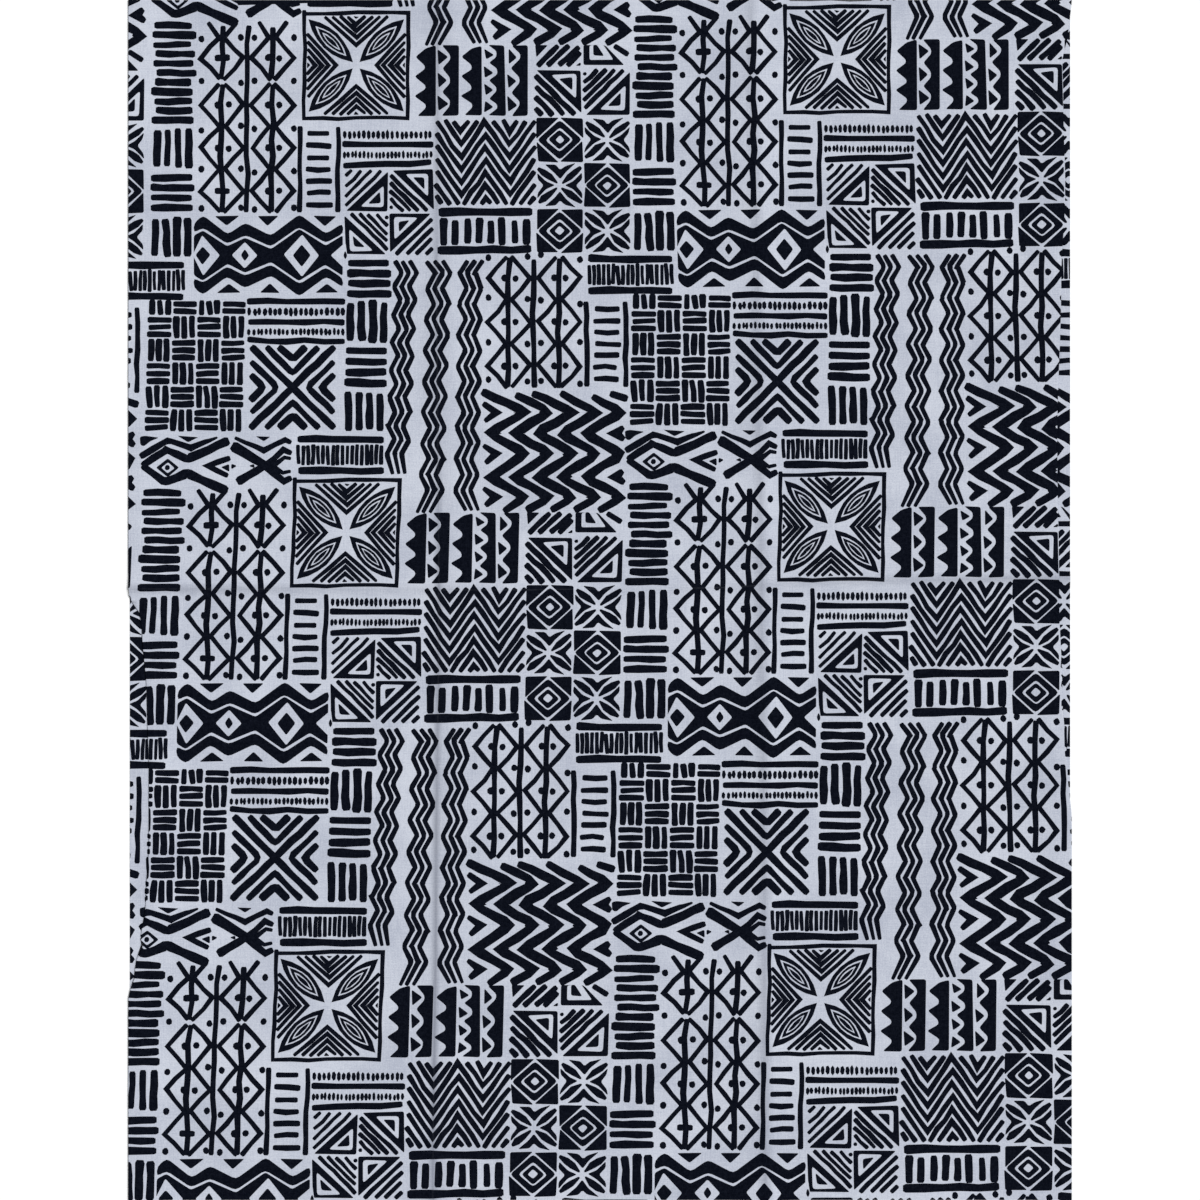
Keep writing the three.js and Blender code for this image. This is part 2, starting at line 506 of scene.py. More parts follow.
def crossed_chevrons(box):
    """A big cross with chevrons nested in its four arms."""
    left, top, right, bottom = box
    cx, cy = (left + right) / 2 - 1, (top + bottom) / 2 - 1
    wide, tall = (right - left) / 2 - 3, (bottom - top) / 2 - 4
    stroke([(cx - wide, cy - tall), (cx + wide, cy + tall)], CROSS_ARM)
    stroke([(cx + wide, cy - tall), (cx - wide, cy + tall)], CROSS_ARM)
    for tip, reach, thick in ((0.37, 0.62, 4.6), (0.71, 0.29, 5.7)):
        for way in (-1, 1):
            x, y = cx + way * wide, cy + way * tall
            level = [(cx - wide * reach, y), (cx, cy + way * tall * tip), (cx + wide * reach, y)]
            upright = [(x, cy - tall * reach), (cx + way * wide * tip, cy), (x, cy + tall * reach)]
            stroke(level, thick, soft=3)
            stroke(upright, thick, soft=5)


crossed_chevrons((250, 345, 337, 432))
tell("cross")

# %% [markdown]
# ## The leaf square
#
# Nested outlines are painted from the outside in, ink and ground by turns, the way a cutter would
# lay smaller stencils on larger ones. Later shapes cover earlier ones. Here four leaves made of such
# rings lie on the diagonals of a framed square.

# %% Chart the leaf square
LEAF_RINGS = ((INK, 0.0), (GROUND, 3.7), (INK, 4.8), (GROUND, 7.1), (INK, 8.1))


def leaf(tip, root, wide):
    """A pointed leaf nested in rings."""
    tip, root = Vector(tip), Vector(root)
    along = (root - tip).normalized()
    across = along.orthogonal()
    length = (root - tip).length
    for tone, inset in LEAF_RINGS:
        half = wide / 2 - inset
        start, stop = inset * 2.7, length - inset * 2.4
        outline = []
        for k in range(12):
            share = k / 6 if k < 6 else 2 - k / 6
            bulge = half * math.sin(math.pi * share) ** 0.8 * (1 if k < 6 else -1)
            place = tip + along * (start + (stop - start) * share) + across * bulge
            outline.append(jitter(place, 0.15))
        shapes.append(Shape(outline, tone))


def leaf_square(box):
    """Four leaves from the corners, nested chevrons on every side, in a thin frame."""
    left, top, right, bottom = box
    cx, cy = (left + right) / 2, (top + bottom) / 2
    half = (right - left) / 2
    a, b, c, d = left + 2.3, top + 2.3, right - 2.3, bottom - 2.3
    stroke([(a + 2, b), (c, b), (c, d), (a, d), (a, b)], 2.3, step=18, shake=0.5)
    for sx in (-1, 1):
        for sy in (-1, 1):
            leaf((cx + sx * (half - 6.5), cy + sy * (half - 8)), (cx + sx * 3.4, cy + sy * 3.2), 20)
    edge = half - 6.0
    for c, s in ((1, 0), (0, 1), (-1, 0), (0, -1)):
        for tip in (20.5, 27.5, 34.2, 40.8):
            reach = (edge - tip) * 1.12
            corners = ((edge, -reach), (tip, 0), (edge, reach))
            path = [(cx + c * out - s * off, cy + s * out + c * off) for out, off in corners]
            stroke(path, (1.8, 2.8, 1.8), step=20)
        corners = ((edge + 0.6, -3), (edge - 2.6, 0), (edge + 0.6, 3))
        blob([(cx + c * out - s * off, cy + s * out + c * off) for out, off in corners], soft=0.8)


leaf_square((302, 10.5, 410.5, 120.5))
tell("leaf square")

# %% [markdown]
# ## Hatched quarters
#
# Each quarter is half triangle, half slanting strokes, and is turned to face its own way. So the
# motif is drawn once on a unit square and turned over as it is placed. One patch of four is cut off
# by the patch above it, so its upper pair has a drawing of its own.

# %% Chart the hatched quarters
NESTED_TRIANGLE = ((INK, 0.04, 1.0, 2.0), (GROUND, 0.35, 0.9, 3.0), (INK, 0.52, 0.81, 2.4))
CUT_STROKES = ((3.6, 22.8, 1.8), (13.2, 33.0, 1.6), (25.0, 43.0, 3.0), (33.4, 44.4, 9.0))
CUT_TRIANGLE = ((INK, 20, 0, 41, 22), (GROUND, 14.6, 6, 29.5, 19.6), (INK, 11, 10, 21, 14))


def in_box(box, points, flip_x, flip_y):
    """Points on a unit square placed in a box, turned over either way."""
    left, top, right, bottom = box
    placed = []
    for u, v in points:
        u, v = (1 - u if flip_x else u), (1 - v if flip_y else v)
        placed.append((left + (right - left) * u, top + (bottom - top) * v))
    return placed


def hatched_quarter(box, corner, strokes, weight):
    """A nested triangle fills the named corner, slanting strokes fill the other half."""
    flips = "w" in corner, "s" in corner
    for tone, near, far, soft in NESTED_TRIANGLE:
        triangle = [(near, 1 - far), (far, 1 - far), (far, 1 - near)]
        blob(in_box(box, triangle, *flips), tone, soft, shake=0.5)
    size = min(box[2] - box[0], box[3] - box[1])
    pitch = 0.94 / strokes
    for k in range(strokes):
        off = 0.12 + pitch * k
        ends = in_box(box, [(0.03, off + 0.03), (0.96 - off, 0.97)], *flips)
        thick = size * pitch * weight * hand.uniform(0.88, 1.12)
        if off < 0.84:
            stroke(ends, (thick, thick * hand.uniform(0.8, 1.2)), step=9, shake=0.4)
        else:
            dot(*ends[0], 2.0, 1.9)


def quarters_cut_short(box):
    """Four hatched quarters, the upper pair cut off by the patch above."""
    left, top, right, bottom = box
    middle = (left + right) / 2
    blob([(left, top), (left + 13.5, top), (left + 1.5, top + 12)])
    for start, stop, rise in CUT_STROKES:
        stroke([(left + start, top + 19.4), (left + stop, top + rise)], 4.0, step=9)
    blob([(left + 40.5, top + 21), (left + 45.6, top + 21), (left + 45.6, top + 16.5)], soft=1.0)
    a = middle + 1
    for tone, drop, near, far, shoulder in CUT_TRIANGLE:
        ring = [(a + near, top), (a + near, top + drop), (a + far, top + drop), (a + shoulder, top)]
        blob(ring, tone, soft=1.8)
    stroke([(right - 14, top + 2), (right - 3, top + 9.5)], 4.2)
    hatched_quarter((left, top + 25, middle - 1.5, bottom - 1), "ne", 4, 0.38)
    hatched_quarter((middle + 1, top + 24.5, right, bottom - 1), "se", 5, 0.34)


quarters_cut_short((535, 45, 630, 116))
for box, corner, strokes, weight in (
    ((345, 170, 388, 211.5), "se", 4, 0.2),
    ((390, 170, 433, 211.5), "ne", 5, 0.34),
    ((345, 213.5, 388, 255), "sw", 5, 0.28),
    ((390, 213.5, 433, 255), "nw", 4, 0.27),
):
    hatched_quarter(box, corner, strokes, weight)
tell("hatched quarters")

# %% [markdown]
# ## Diamonds and petals
#
# Six cells hold nested diamonds and petal crosses by turns. A petal cross is a leaf on each diagonal
# with a spread V between each pair. Both motifs are given in shares of half a cell.

# %% Chart the diamonds and petals
PETAL = ((0.12, 0.14), (0.43, 0.38), (0.7, 0.6), (0.92, 0.77))
LEVEL_V = (
    (-0.68, 0.98), (-0.16, 0.93), (0.02, 0.7), (0.24, 0.9),
    (0.74, 1.02), (0.27, 0.62), (0.02, 0.27), (-0.24, 0.58),
)
UPRIGHT_V = (
    (1.0, -0.6), (1.0, -0.3), (0.72, 0), (1.0, 0.34),
    (1.02, 0.62), (0.6, 0.19), (0.22, 0), (0.6, -0.19),
)
CORNER = ((0.03, 1.01), (1.02, 1.01), (1.02, 0.05))
DIAMOND_RINGS = ((INK, 1.0, 3.5), (GROUND, 0.62, 3), (INK, 0.51, 2.6), (GROUND, 0.22, 1.6))


def diamond(cx, cy, wide, tall, tone, soft=1.4):
    blob([(cx, cy - tall), (cx + wide, cy), (cx, cy + tall), (cx - wide, cy)], tone, soft)


def nested_diamond(cx, cy, wide, tall):
    """A dark square cut by a pale diamond line, with more diamonds inside."""
    for sx in (-1, 1):
        for sy in (-1, 1):
            corner = [(cx + sx * wide * u, cy + sy * tall * v) for u, v in CORNER]
            blob(corner, soft=1.2, shake=0.4)
    for tone, size, soft in DIAMOND_RINGS:
        diamond(cx, cy, wide * size, tall * size * 0.92, tone, soft)


def petal_cross(cx, cy, wide, tall):
    """A leaf on each diagonal and a spread V on each side between them."""
    for sx in (-1, 1):
        for sy in (-1, 1):
            path = [(cx + sx * wide * u, cy + sy * tall * v) for u, v in PETAL]
            stroke(path, (0.4, 5.0, 5.0, 2.0), step=20, shake=0.35)
        blob([(cx + wide * u, cy + sx * tall * v) for u, v in LEVEL_V], soft=1.2)
        blob([(cx + sx * wide * u, cy + tall * v) for u, v in UPRIGHT_V], soft=1.2)


def cross_grid(box):
    """Six cells: nested diamonds and petal crosses by turns."""
    left, top, right, bottom = box
    wide, tall = (right - left) / 2, (bottom - top) / 3
    for row in range(3):
        for column in range(2):
            cx, cy = left + wide * (column + 0.5), top + tall * (row + 0.5)
            motif = nested_diamond if (row != 1) == (column == 0) else petal_cross
            motif(cx, cy, wide / 2 - 1.3, tall / 2 - 1.2)


cross_grid((536, 117, 631, 254))
tell("diamonds and petals")

# %% [markdown]
# ## Combs
#
# Five upright toothed strips. A comb is one outline that walks up its teeth and back down a straight
# side. Some have loose wedges between the teeth.

# %% Chart the combs
COMB_PITCH = 23.2


def comb(left, right, top, bottom, teeth, wedges):
    """One upright toothed strip, with loose wedges between the teeth where asked."""
    wide = right - left
    outline = [(right, top), (right, bottom)]
    if wedges:
        pitch = (bottom - top) / teeth
        outline.append((left + 4, bottom))
        for k in range(teeth):
            y = bottom - pitch * (k + 0.5)
            gap = left + wide * 0.58
            outline += [(gap, y + 2.4), (gap, y - 2.4), (left + 4, y - pitch / 2)]
            tall = pitch * 0.35
            blob([(left, y - tall), (left + 9.6, y + 0.5), (left + 1, y + tall)], soft=1.9, shake=0.6)
    else:
        pitch = (bottom - top - 11) / teeth
        gap = left + wide * 0.52
        outline.append((left + 3, bottom))
        for k in range(teeth):
            y = bottom - pitch * k
            outline += [(gap, y - pitch * 0.36), (gap, y - pitch * 0.56), (left, y - pitch)]
        outline.append((gap, top + 2))
    blob(outline, soft=2.3, shake=0.5)


for k, (teeth, wedges) in enumerate(((3, False), (3, True), (3, False), (4, True), (3, True))):
    comb(414.6 + COMB_PITCH * k, 435.8 + COMB_PITCH * k, 45.6, 115.4, teeth, wedges)
tell("combs")

# %% [markdown]
# ## Lattices
#
# A lattice is pairs of zigzags pinched against uprights, with spots in the diamonds they make. In a
# short group the topmost zigzag stays open, as if it had run on above the patch.

# %% Chart the lattices
def zigzag_column(x, rows, wide, tall, open_top):
    """Two zigzags that make a column of diamonds round an upright."""
    for side in (-1, 1):
        pinch = x + side * 3.0
        path = [(x + side * 13, rows[0] - tall * 1.7)] if open_top else []
        path.append((pinch, rows[0] - tall))
        for row, following in zip(rows, rows[1:] + [None]):
            path.append((x + side * wide, row))
            path.append((pinch, (row + following) / 2 if following else row + tall))
        stroke(path, 3.0, step=18, shake=0.6)


def lattice(box, groups, crosses, spots):
    """Two columns of diamonds with uprights, and spots in the spaces between."""
    left, top, right, bottom = box
    unit = (right - left) / 4
    middle = (left + right) / 2
    wide, tall = unit * 0.84, 20.5
    stroke([(middle - 0.5, top + 4), (middle, bottom - 2)], 3.8, step=18, shake=0.8)
    for rows in groups:
        open_top = len(rows) < 3
        for x in (left + unit, right - unit):
            zigzag_column(x, rows, wide, tall, open_top)
            start = rows[0] - tall * (1.45 if open_top else 0.9)
            stroke([(x, start), (x - 0.8, rows[-1] + tall * 0.95)], 3.9, step=18, shake=0.8)
            for row in rows:
                if x < middle and row in crosses:
                    stroke([(x - 5, row), (x + 6, row)], 4.6)
                    continue
                dot(x - 4.5, row + hand.gauss(0, 0.5), 3.2, 3.6)
                dot(x + 6.5, row + hand.gauss(0, 0.5), 3.0, 3.3)
    for y in spots:
        for x in (left + 4.5, middle - 6.5, middle + 7.0, right - 4.0):
            dot(x, y + hand.gauss(0, 1.4), 2.9, 3.3)


lattice((197, 22, 298, 213), ([58], [105, 148, 191]), (58, 191), (37, 83, 127, 170, 209))
lattice((484, 256, 584, 388), ([278, 322, 366],), (), (258, 300, 344, 383))
tell("lattices")

# %% [markdown]
# ## Ribbons
#
# A ribbon is three strands that swing together and slant away at the foot. Each has its own lean,
# swing and wave, kept in a named tuple so that the numbers can be read.

# %% Chart the ribbons
Ribbon = namedtuple("Ribbon", "middle lean swing wave turns stop slide")
RIBBONS = (
    Ribbon(406.3, 0.045, 3.4, 13.9, 15, 473, 2.2),
    Ribbon(439.5, 0.036, 4.0, 15.5, 16, 511.5, -7),
    Ribbon(471.0, 0.02, -3.7, 15.5, 16, 510, 5.6),
)
STRAND_GAP, STRAND, STRAND_END = 7.4, 3.25, 2.0


def ribbons(top):
    """Upright zigzag ribbons of three strands whose lower ends slant away."""
    for ribbon in RIBBONS:
        for strand in (-STRAND_GAP, 0, STRAND_GAP):
            path = [(ribbon.middle + strand - ribbon.swing, top)]
            for k in range(1, ribbon.turns):
                y = top + 11 + ribbon.wave * (k - 1)
                x = ribbon.middle - ribbon.lean * (y - top) + strand
                path.append((x + ribbon.swing * (1 if k % 2 else -1), y))
            x = ribbon.middle - ribbon.lean * (ribbon.stop - top) + strand * 0.85
            path.append((x + ribbon.slide, ribbon.stop))
            widths = (STRAND,) * ribbon.turns + (STRAND_END,)
            stroke(path, widths, step=24, shake=0.3, soft=2.2)


ribbons(262)
tell("ribbons")

# %% [markdown]
# ## The diamond band
#
# The heaviest patches carry the print from a distance. This dark band is pinched round pale diamonds.
# Its edge is given by turns: how far along, how far from the middle line, and how thick the zigzag
# outside it is.

# %% Chart the diamond band
Turn = namedtuple("Turn", "along reach thick")
BAND_TURNS = (
    Turn(1, 20, 8), Turn(10, 25.5, 10), Turn(34.5, 9, 8), Turn(52, 17.5, 11),
    Turn(78, 6.5, 9), Turn(106, 26, 11), Turn(133, 9.5, 8), Turn(150, 20, 8),
)
BAND_DIAMONDS = ((10, 17, 20.5, 7.4), (52, 13, 13.5, 4.7), (108.5, 17.5, 21.5, 9.0), (152, 14, 13, 3.8))


def diamond_band(box):
    """A dark band pinched round pale diamonds, with a zigzag and wedges above and below."""
    left, top, right, bottom = box
    cy = top + 39.5
    for side in (-1, 1):
        inner = [(left + t.along, cy + side * (t.reach + 2.4)) for t in BAND_TURNS]
        outer = [(left + t.along, cy + side * (t.reach + 4.2 + t.thick)) for t in BAND_TURNS]
        blob(outer + inner[::-1], soft=4.2)
    above = [(left + t.along, cy - t.reach) for t in BAND_TURNS]
    below = [(left + t.along, cy + t.reach) for t in BAND_TURNS]
    blob(above + below[::-1], soft=2.2)
    for along, wide, tall, core in BAND_DIAMONDS:
        x = left + along
        ends = min(x + wide, right), max(x - wide, left)
        blob([(x, cy - tall), (ends[0], cy), (x, cy + tall), (ends[1], cy)], GROUND, soft=1.6)
        diamond(x, cy, min(core, right - x), core * 1.25, INK, soft=1.8)
    for along, wide in ((34, 12), (75, 10.5), (132, 11.5)):
        x = left + along
        blob([(x - wide, top), (x + wide, top), (x, top + 10)], soft=1.8)
        blob([(x + 2 - wide, bottom), (x + 2, bottom - 9.5), (x + 2 + wide, bottom)], soft=1.8)


diamond_band((193, 216, 347, 293))
tell("diamond band")

# %% [markdown]
# ## The fish band
#
# Long lozenges cross like fish tails, and one end has an eye. This patch has no repeating rule, so
# its corner points are listed one by one, with a width for each point of a stroke.

# %% Chart the fish band
def fish_band(box):
    """Long lozenges that cross like fish tails, with an eye at one end."""
    left, top, right, bottom = box

    def placed(*points):
        return [(left + x, top + y) for x, y in points]

    blob(placed((0, 2), (5, 0.3), (18.5, 2), (10.5, 6.8), (4, 11.6), (0.3, 10)))
    upper_line = placed((2.5, 21), (27.7, 5), (50.6, 13.4), (65.4, 7), (76.8, 3))
    stroke(upper_line, (4.6, 4.6, 5.0, 3.4, 0.4), soft=4)
    stroke(placed((4, 30.2), (26, 14.7), (48.2, 24.5), (86.5, 6.6)), (5.0, 5.4, 6.8, 7.4), soft=3)
    stroke(placed((4, 32), (25.3, 47.2), (47.4, 38), (84.8, 55.6)), (5.8, 6.6, 7.4, 8.2), soft=3)
    diamond(left + 27.7, top + 33, 11.2, 9.8, INK)
    diamond(left + 27.7, top + 33, 6.4, 5.4, GROUND)
    dot(left + 27.3, top + 32.8, 2.5, 2.4)
    stroke(placed((88, 24.2), (68.5, 31), (86.4, 40.7)), (3.9, 4.7, 3.7))
    blob(placed((80.3, 32.3), (89.4, 28.9), (88.6, 36.8)), soft=1.2)
    blob(placed((91.3, 28.6), (97.4, 31.4), (91.3, 34.6)), soft=1.2)
    blob(placed((108, 31), (113.6, 28.3), (114.6, 34.3)), soft=1.2)
    stroke(placed((95, 12.2), (123.5, 29.9), (143.6, 46.4), (149.8, 43.6)), (8.4, 6.2, 5.1, 4.2))
    stroke(placed((99.5, 45.8), (123.5, 31.7), (143, 15), (150, 18.2)), (7.6, 5.4, 4.2, 3.4))
    stroke(placed((95.7, 3.4), (123.5, 15.4), (145.6, 4.8), (150, 7.2)), (2.4, 4.2, 4.0, 3.4))
    tail = placed((149.7, 24), (144.3, 22.7), (132.4, 31.4), (143, 38), (149.7, 36.2))
    stroke(tail, (2.0, 2.2, 3.2, 2.2, 2.0))
    blob(placed((37.2, 1.4), (58, 2.1), (48.2, 7.8)), soft=1.4)
    blob(placed((115.3, 1.4), (130.5, 1.6), (123.5, 7)), soft=1.4)


fish_band((140, 435, 293, 494))
tell("fish band")

# %% [markdown]
# ## The big chevrons
#
# Thick zigzags stand side by side, broadest where they bend, as a loaded brush leaves them. Arrowheads
# fill the gaps at both edges.

# %% Chart the chevrons
CHEVRON_PITCH = 23.8
CHEVRON_STARTS = ((-4.5, 0), (4.6, 4), (-3, 2), (1.5, 2), (10, 5.5))
CHEVRON_WIDTHS = (6.0, 7.7, 7.7, 7.7, 7.7, 7.7, 6.0)


def big_chevrons(box):
    """Thick upright zigzags side by side, thickest at their bends, with arrowheads at both edges."""
    left, top, right, bottom = box
    heights = (top + 2, top + 22.4, top + 43.6, top + 64, top + 87.4, top + 107, bottom - 2.5)
    for k, (shift, drop) in enumerate(CHEVRON_STARTS):
        near, far = left + 7 + CHEVRON_PITCH * k, left + 44.5 + CHEVRON_PITCH * k
        path = [(near + shift, heights[0] + drop)]
        path += [(far if n % 2 else near, heights[n]) for n in range(1, 6)]
        path.append((near + 16, heights[6]))
        stroke(path, CHEVRON_WIDTHS, step=13, shake=0.45, soft=9, swell=1.3)
    stroke([(right - 16.5, top + 3.5), (right - 3.5, top + 8.5)], 5.6)
    for y in heights[1::2]:
        stroke([(left + 2.5, y - 8), (left + 14.5, y), (left + 4, y + 8)], (3.8, 5.8, 3.8))
    for y in heights[2:5:2]:
        stroke([(right - 7, y - 5.2), (right - 14.5, y), (right - 6.5, y + 5)], (4.4, 6.2, 4.4))


big_chevrons((482, 390, 628, 512))
tell("chevrons")

# %% [markdown]
# ## Print the length
#
# A roller prints the same repeat again and again, so every copy has the same hand-made wobble. The
# cloth was pulled a little off the straight: down the width the print leans to one side, less so
# at the far end, along the length it climbs, beside the second crease it bulges, and near one
# selvedge it is stretched. The chart was drawn on the first copy, pull and all, so it is
# straightened first, stepped to its place in the repeat, and pulled again as the cloth is there.

# %% Repeat the chart over the cut
COPIES_ALONG = (-485.0, 0.0, 480.6)
REPEAT_DOWN = 467.3
SLANT, SLANT_FADE, SLANT_MIDDLE = 0.0058, 0.0009, 400
BOW, BOW_END = 2.56e-5, 620
CLIMB, CLIMB_START = 0.0125, 356
BULGE, BULGE_MIDDLE, BULGE_SPREAD, BULGE_RISE = 3.4, 710, 110, 120
STRETCH, STRETCH_START = 0.018, 690
Printed = namedtuple("Printed", "outline tone low high")


def lean(right, down):
    bowed = down ** 2 - np.clip(down - BOW_END, 0, None) ** 2
    return (SLANT * down + BOW * bowed) * (1 - SLANT_FADE * (right - SLANT_MIDDLE))


def climb(right):
    return CLIMB * (right - CLIMB_START)


def on_cloth(outline, step_along, step_down):
    """Chart places of one copy of the repeat, in flat millimetres from the middle of the cut."""
    x, y = np.array(outline).T
    right = x + lean(x, y) + step_along
    down = y + climb(x) + step_down
    beside_crease = np.clip(1 - np.abs(right - BULGE_MIDDLE) / BULGE_SPREAD, 0, 1)
    bulge = BULGE * beside_crease * np.clip(down / BULGE_RISE - 1.5, 0, 1)
    stretch = STRETCH * np.clip(down - STRETCH_START, 0, None)
    seen_right, seen_down = right - lean(right, down) + bulge, down - climb(right) + stretch
    return np.column_stack((seen_right - HALF_WIDTH, HALF_WIDTH - seen_down))


cut_size = np.array((HALF_LENGTH, HALF_WIDTH))
prints = []


def add_print(outline, tone):
    """Keeps an outline if any of it falls on the cut."""
    low, high = outline.min(axis=0), outline.max(axis=0)
    if (high > -cut_size).all() and (low < cut_size).all():
        prints.append(Printed(outline, tone, low, high))


for row in range(-1, 3):
    for step_along in COPIES_ALONG:
        for shape in shapes:
            add_print(on_cloth(shape.outline, step_along, REPEAT_DOWN * row), shape.tone)
edge_strip = np.array([(-364, 602), (-206, 602), (-207, 598.4), (-270, 597.4), (-362, 594.6)])
add_print(edge_strip, INK)
print(f"{len(prints)} outlines printed, {sum(len(p.outline) for p in prints)} points")

# %% [markdown]
# ## Cut the cloth along every outline
#
# Blender's constrained Delaunay triangulation takes loose lines and returns triangles whose edges
# follow all of them. The lines here are the border of the cut, the print's outlines, and guide
# lines where the cloth will bend, close together round each fold so that it bends smoothly.

# %% Lines to cut along
GUIDE_STEP = 30.0
CREASE_STATIONS = (-1, -0.6, -0.25, 0, 0.25, 0.6, 1)
HALF_FOLD_STATIONS = (-1, -0.4, 0, 0.4, 1)
guides_y = np.linspace(-HALF_WIDTH, HALF_WIDTH, round(LOOM_WIDTH / GUIDE_STEP) + 1)
guides_x = np.linspace(-HALF_LENGTH, HALF_LENGTH, round(FLAT_LENGTH / GUIDE_STEP) + 1)

lines = []
for side in (-1.0, 1.0):
    bend_start = fold_distance(side, guides_y) - BEND_REACH
    stations = [BEND_ARC * k / 2 for k in range(3)]
    stations += [BEND_ARC + MIDDLE_RUN + station for station in stations]
    stations += [-MIDDLE_RUN - BEND_REACH - RAMP_LENGTH * k / 3 for k in range(4)]
    lines += [np.column_stack((side * (bend_start + station), guides_y)) for station in stations]
for table in (FIRST_CREASE, SECOND_CREASE):
    middle, reach = eased(guides_y, table, 1), eased(guides_y, table, 3)
    lines += [np.column_stack((middle + reach * station, guides_y)) for station in CREASE_STATIONS]
half_fold_y = eased(guides_x, HALF_FOLD, 2)
for station in HALF_FOLD_STATIONS:
    lines.append(np.column_stack((guides_x, half_fold_y + HALF_FOLD_SPREAD * station)))
border = [(-1, -1), (1, -1), (1, 1), (-1, 1), (-1, -1)]
lines.append(np.array(border) * cut_size)
lines += [np.vstack((printed.outline, printed.outline[:1])) for printed in prints]

print(len(lines), "lines to cut along")

# %% [markdown]
# ## Triangulate
#
# All the lines go to the triangulation as points and edges. It also fills the space outside the
# border, so triangles whose middle lies off the cut are dropped, and the points left unused with
# them.

# %% Triangulate the flat cut
points, edges = [], []
for line in lines:
    first = len(points)
    points += [Vector(place) for place in line]
    edges += [(k, k + 1) for k in range(first, len(points) - 1)]
JOIN_DISTANCE = 1e-4
verts, _, faces, _, _, _ = delaunay_2d_cdt(points, edges, [], 0, JOIN_DISTANCE, False)

flat = np.array(verts)
triangles = np.array(faces)
middles = flat[triangles].mean(axis=1)
triangles = triangles[(np.abs(middles) < cut_size).all(axis=1)]
used, triangles = np.unique(triangles, return_inverse=True)
triangles = triangles.reshape(-1, 3)
flat = np.clip(flat[used], -cut_size, cut_size)
print(f"{len(flat)} points and {len(triangles)} triangles on the printed face")

# %% [markdown]
# ## Ink each triangle
#
# A triangle lies wholly inside or wholly outside every outline, so its middle decides. The
# outlines are gone through in printing order, and the last one that covers a middle sets its tone.
# Sorting the middles from left to right keeps the search short.

# %% Decide the tone of every triangle
def covered(places, outline):
    """Which places lie inside a closed outline, by counting turns round each place."""
    ax, ay = outline.T
    bx, by = np.roll(outline, -1, axis=0).T
    px, py = places[:, :1], places[:, 1:]
    side = (bx - ax) * (py - ay) - (px - ax) * (by - ay)
    rising = (ay <= py) & (by > py) & (side > 0)
    falling = (ay > py) & (by <= py) & (side < 0)
    return rising.sum(axis=1) != falling.sum(axis=1)


middles = flat[triangles].mean(axis=1)
order = np.argsort(middles[:, 0])
across = middles[order]
tone = np.zeros(len(triangles))
for printed in prints:
    first, last = np.searchsorted(across[:, 0], (printed.low[0], printed.high[0]))
    near = np.arange(first, last)
    near = near[(across[near, 1] > printed.low[1]) & (across[near, 1] < printed.high[1])]
    tone[near[covered(across[near], printed.outline)]] = printed.tone
ink = np.empty_like(tone)
ink[order] = tone
sides = np.diff(flat[triangles], axis=1)
areas = np.abs(sides[:, 0, 0] * sides[:, 1, 1] - sides[:, 0, 1] * sides[:, 1, 0]) / 2
print(f"ink covers {(areas * ink).sum() / areas.sum():.2f} of the cloth")

# %% [markdown]
# ## Fold the printed cloth
#
# Each flat point goes through the fold map once, and then half a thickness either way along the
# direction the face looks in: forward for the printed face, back for the reverse. A strip of quads
# closes the cut edge, so the sheet is one closed skin. A Solidify modifier would thicken it too,
# but built this way the reverse is known face by face, so that its print can be weaker.

# %% Build the sheet
count = len(flat)
middle, normal = folded(flat), facing(flat)
places = np.vstack((middle + normal * THICKNESS / 2, middle - normal * THICKNESS / 2)) * MM

half_edges = triangles[:, [0, 1, 1, 2, 2, 0]].reshape(-1, 2)
keys = half_edges.min(axis=1) * count + half_edges.max(axis=1)
_, first, times = np.unique(keys, return_index=True, return_counts=True)
rim = half_edges[first[times == 1]]
rim_quads = np.column_stack((rim[:, 1], rim[:, 0], rim[:, 0] + count, rim[:, 1] + count))

mesh = bpy.data.meshes.new("printed_length")
back_faces = triangles[:, ::-1] + count
mesh.from_pydata(places, [], triangles.tolist() + back_faces.tolist() + rim_quads.tolist())
cloth = bpy.data.objects.new("printed_length", mesh)
bpy.context.collection.objects.link(cloth)

print(f"{len(mesh.polygons)} faces, {len(rim)} along the cut edge")

# %% [markdown]
# ## Shading that follows the fold
#
# Cutting along the print leaves long thin triangles, whose own normals would show as facets. So
# the shading normals come from the fold map instead, and the cut edge gets normals that point out.

# %% Set the normals
corner_verts = np.empty(len(mesh.loops), dtype=np.int32)
mesh.loops.foreach_get("vertex_index", corner_verts)
corner_normals = np.vstack((normal, -normal))[corner_verts]
edge_way = flat[rim[:, 1]] - flat[rim[:, 0]]
edge_out = np.column_stack((edge_way[:, 1], -edge_way[:, 0], np.zeros(len(rim))))
edge_out /= np.linalg.norm(edge_out, axis=1, keepdims=True)
corner_normals[-4 * len(rim):] = np.repeat(edge_out, 4, axis=0)
mesh.shade_smooth()
mesh.normals_split_custom_set(corner_normals)
print(len(corner_normals), "corners shaded from the fold map")

# %% [markdown]
# ## What the finish needs to know
#
# The finish reads from the mesh which faces are inked and which belong to the back, where each point
# lies on the flat cut (so that threads run straight through a fold), and how far it is from the
# three crests, where shade is painted into the ground and the print cracks. Attributes carry these
# better than a picture would, because they are as sharp as the mesh.

# %% Attributes
def describe(name, kind, domain, field, values):
    layer = mesh.attributes.new(name, kind, domain)
    layer.data.foreach_set(field, np.asarray(values, dtype=np.float32).ravel())


